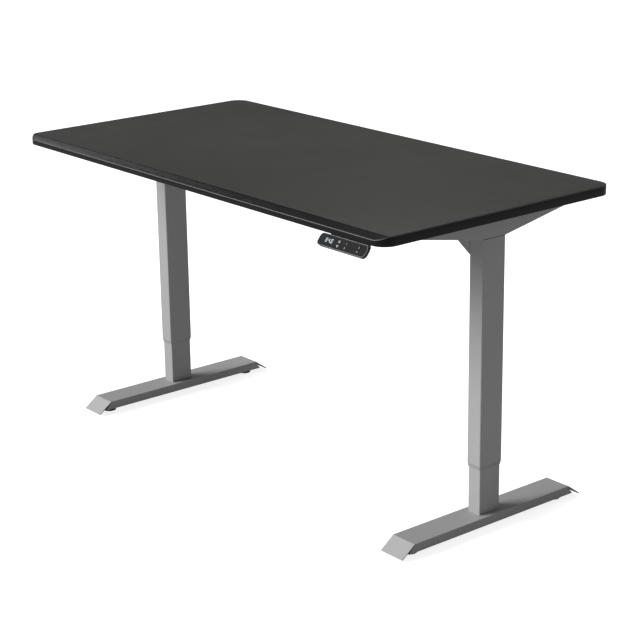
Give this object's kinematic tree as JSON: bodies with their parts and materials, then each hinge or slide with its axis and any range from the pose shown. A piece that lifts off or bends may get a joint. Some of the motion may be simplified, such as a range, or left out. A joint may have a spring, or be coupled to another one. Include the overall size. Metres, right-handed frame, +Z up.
{
  "type": "height adjustable standing desk",
  "caption": "Standing desk with a bevelled black top on two motor-driven telescopic steel legs, long flat feet and a touch handset under the front edge.",
  "frame": {"origin": "on the floor, in the middle of the desk's overall outline (bounding box)", "axes": "+X to the desk's right as its user sees it from behind the front edge, +Y to the back, +Z up"},
  "size_m": [1.524, 0.782, 0.848],
  "materials": {
    "black_laminate": "matte black laminate on particle board",
    "silver_powder_coat": "satin silver-grey powder coat",
    "silver_collar_plastic": "silver-grey moulded plastic",
    "white_acetal": "white low-friction plastic",
    "zinc_plated_steel": "zinc plated",
    "cast_aluminium": "die cast, unpainted",
    "brass_wheel": "machined",
    "motor_steel": "drawn steel can",
    "bright_steel": "ground steel",
    "black_screws": "black zinc",
    "black_glide_plastic": "black nylon",
    "black_case_plastic": "fine textured black plastic",
    "black_socket_plastic": "plain black plastic",
    "circuit_board": "green solder mask",
    "handset_plastic": "black moulded plastic",
    "handset_gloss_panel": "glossy black touch panel",
    "display_module": "dark display block"
  },
  "bodies": {
    "base": {"foot_cover_left": "silver_powder_coat", "foot_cover_right": "silver_powder_coat", "foot_rail_left": "silver_powder_coat", "foot_rail_right": "silver_powder_coat", "inner_tube_left": "silver_powder_coat", "inner_tube_right": "silver_powder_coat", "leg_base_plate_left": "zinc_plated_steel", "leg_base_plate_right": "zinc_plated_steel", "guide_sleeve_left": "white_acetal", "guide_sleeve_right": "white_acetal", "nut_carrier_left": "zinc_plated_steel", "nut_carrier_right": "zinc_plated_steel", "lift_nut_left": "white_acetal", "lift_nut_right": "white_acetal", "foot_bolts": "zinc_plated_steel", "glide_nuts": "zinc_plated_steel"},
    "upper": {"tabletop": "black_laminate", "side_bracket_left": "silver_powder_coat", "side_bracket_right": "silver_powder_coat", "leg_head_left": "silver_powder_coat", "leg_head_right": "silver_powder_coat", "outer_tube_left": "silver_powder_coat", "outer_tube_right": "silver_powder_coat", "leg_collar_left": "silver_collar_plastic", "leg_collar_right": "silver_collar_plastic", "gearbox_housing_left": "cast_aluminium", "gearbox_housing_right": "cast_aluminium", "gearbox_cover_left": "cast_aluminium", "gearbox_cover_right": "cast_aluminium", "motor_case_left": "motor_steel", "motor_case_right": "motor_steel", "crossbar_front_rail": "silver_powder_coat", "crossbar_rear_rail": "silver_powder_coat", "spindle_bearings": "bright_steel", "control_box_case": "black_case_plastic", "control_box_lid": "black_case_plastic", "control_board": "circuit_board", "power_inlet": "black_socket_plastic", "motor_sockets": "black_socket_plastic", "handset_housing": "handset_plastic", "handset_panel": "handset_gloss_panel", "handset_board": "circuit_board", "handset_display": "display_module", "tabletop_screws": "black_screws", "handset_screws": "black_screws", "control_box_screws": "black_screws", "bracket_screws": "zinc_plated_steel", "crossbar_screws": "black_screws", "gearbox_screws": "black_screws"},
    "spindle_left": {"spindle_left": "zinc_plated_steel", "worm_wheel_left": "brass_wheel"},
    "rotor_left": {"motor_rotor_left": "bright_steel"},
    "spindle_right": {"spindle_right": "zinc_plated_steel", "worm_wheel_right": "brass_wheel"},
    "rotor_right": {"motor_rotor_right": "bright_steel"},
    "glide_front_left": {"glide_front_left": "black_glide_plastic"},
    "glide_rear_left": {"glide_rear_left": "black_glide_plastic"},
    "glide_front_right": {"glide_front_right": "black_glide_plastic"},
    "glide_rear_right": {"glide_rear_right": "black_glide_plastic"}
  },
  "joints": [
    {"name": "lift", "type": "slide", "parent": "base", "child": "upper", "axis": [0, 0, 1], "range_m": [-0.12, 0.36]},
    {"name": "spindle_left_turn", "type": "hinge", "parent": "upper", "child": "spindle_left", "pos_m": [-0.666, 0.038, 0.7586], "axis": [0, 0, 1], "range_deg": [-4320, 12960]},
    {"name": "rotor_left_turn", "type": "hinge", "parent": "upper", "child": "rotor_left", "pos_m": [-0.6, 0.0593, 0.79], "axis": [1, 0, 0], "range_deg": [-60480, 181440]},
    {"name": "spindle_right_turn", "type": "hinge", "parent": "upper", "child": "spindle_right", "pos_m": [0.666, 0.038, 0.7586], "axis": [0, 0, 1], "range_deg": [-4320, 12960]},
    {"name": "rotor_right_turn", "type": "hinge", "parent": "upper", "child": "rotor_right", "pos_m": [0.6, 0.0593, 0.79], "axis": [1, 0, 0], "range_deg": [-60480, 181440]},
    {"name": "glide_front_left_screw", "type": "slide", "parent": "base", "child": "glide_front_left", "axis": [0, 0, -1], "range_m": [0, 0.008]},
    {"name": "glide_rear_left_screw", "type": "slide", "parent": "base", "child": "glide_rear_left", "axis": [0, 0, -1], "range_m": [0, 0.008]},
    {"name": "glide_front_right_screw", "type": "slide", "parent": "base", "child": "glide_front_right", "axis": [0, 0, -1], "range_m": [0, 0.008]},
    {"name": "glide_rear_right_screw", "type": "slide", "parent": "base", "child": "glide_rear_right", "axis": [0, 0, -1], "range_m": [0, 0.008]}
  ],
  "couplings": [
    {"joint": "spindle_left_turn", "follows": "lift", "rad_per_m": 628.32},
    {"joint": "rotor_left_turn", "follows": "lift", "rad_per_m": 8796.5},
    {"joint": "spindle_right_turn", "follows": "lift", "rad_per_m": 628.32},
    {"joint": "rotor_right_turn", "follows": "lift", "rad_per_m": 8796.5}
  ]
}
